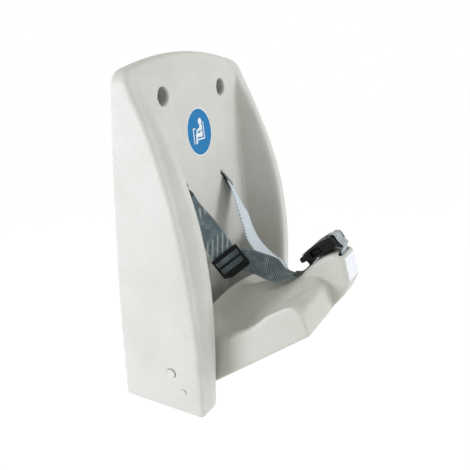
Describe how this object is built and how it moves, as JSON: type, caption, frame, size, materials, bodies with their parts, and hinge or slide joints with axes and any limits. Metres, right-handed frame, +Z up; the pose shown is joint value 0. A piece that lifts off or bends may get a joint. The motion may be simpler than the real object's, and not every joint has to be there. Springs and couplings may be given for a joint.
{
  "type": "wall mounted child seat",
  "caption": "Hollow moulded wall seat for a small child with side wings, a saddle that folds up on a rod, a webbing harness and a side-release buckle.",
  "frame": {"origin": "on the wall plane, at the centre of the rectangle of four fixing holes", "axes": "+X to the right seen from the front, +Y into the wall, +Z up"},
  "size_m": [0.3364, 0.297, 0.5],
  "materials": {
    "back_moulding": "light warm grey rotomoulded polyethylene, fine satin grain",
    "seat_moulding": "light beige-grey rotomoulded polyethylene, fine satin grain",
    "steel_rod": "plain steel bar",
    "nylon_bush": "white nylon",
    "cap_plastic": "grey push-in plastic",
    "pad_rubber": "black rubber",
    "left_webbing": "dark grey-green woven polypropylene webbing",
    "right_webbing": "light blue-grey woven polypropylene webbing",
    "dark_webbing": "black woven webbing",
    "buckle_plastic": "black moulded acetal",
    "disc_print": "blue printed disc with a pale ring",
    "plate": "bare pale plate"
  },
  "bodies": {
    "back": {"back_shell": "back_moulding", "hinge_bush_left": "nylon_bush", "hinge_bush_right": "nylon_bush", "rod_cap_left": "cap_plastic", "rod_cap_right": "cap_plastic", "vent_plug_left": "cap_plastic", "vent_plug_right": "cap_plastic", "stop_pad_left": "pad_rubber", "stop_pad_right": "pad_rubber", "belt_anchor_bar_left": "steel_rod", "belt_anchor_bar_right": "steel_rod", "pictogram_disc": "disc_print", "belt_right": "right_webbing"},
    "seat": {"seat_shell": "seat_moulding", "hinge_rod": "steel_rod", "buckle_socket": "buckle_plastic", "front_strap": "right_webbing", "nose_strap_bar": "steel_rod", "label_plate": "plate", "belt_left_lower": "left_webbing"},
    "left_belt": {"belt_left_upper": "left_webbing"},
    "adjuster": {"adjuster_frame": "buckle_plastic"},
    "tongue": {"buckle_tongue": "buckle_plastic", "tab_webbing": "dark_webbing"},
    "prong_left": {"buckle_prong_left": "buckle_plastic"},
    "prong_right": {"buckle_prong_right": "buckle_plastic"}
  },
  "joints": [
    {"name": "seat_fold", "type": "hinge", "parent": "back", "child": "seat", "pos_m": [0, -0.084, -0.2365], "axis": [-1, 0, 0], "range_deg": [0, 47], "deforming": ["belt_left_upper", "belt_left_lower", "belt_right", "tab_webbing"]},
    {"name": "left_belt_swing", "type": "hinge", "parent": "back", "child": "left_belt", "pos_m": [-0.08554, -0.07399, -0.06951], "axis": [0.3331, 0.064, 0.9407], "range_deg": [0, 54.8], "deforming": ["belt_left_upper", "belt_left_lower", "belt_right"]},
    {"name": "adjuster_slide", "type": "slide", "parent": "left_belt", "child": "adjuster", "axis": [0.247, -0.5293, -0.8117], "range_m": [-0.008, 0], "deforming": ["belt_left_upper", "belt_left_lower", "belt_right"]},
    {"name": "buckle_release", "type": "slide", "parent": "seat", "child": "tongue", "axis": [0, 0.7716, -0.6361], "range_m": [0, 0.015], "deforming": ["belt_left_upper", "belt_left_lower", "belt_right", "tab_webbing"]},
    {"name": "prong_left_squeeze", "type": "slide", "parent": "tongue", "child": "prong_left", "axis": [1, 0, 0], "range_m": [0, 0.003], "stiffness_N_per_m": 1000},
    {"name": "prong_right_squeeze", "type": "slide", "parent": "tongue", "child": "prong_right", "axis": [-1, 0, 0], "range_m": [0, 0.003], "stiffness_N_per_m": 1000}
  ],
  "couplings": [
    {"joint": "left_belt_swing", "follows": "seat_fold", "ratio": 1.1645},
    {"joint": "prong_left_squeeze", "follows": "buckle_release", "ratio": 0.2},
    {"joint": "prong_right_squeeze", "follows": "buckle_release", "ratio": 0.2}
  ]
}
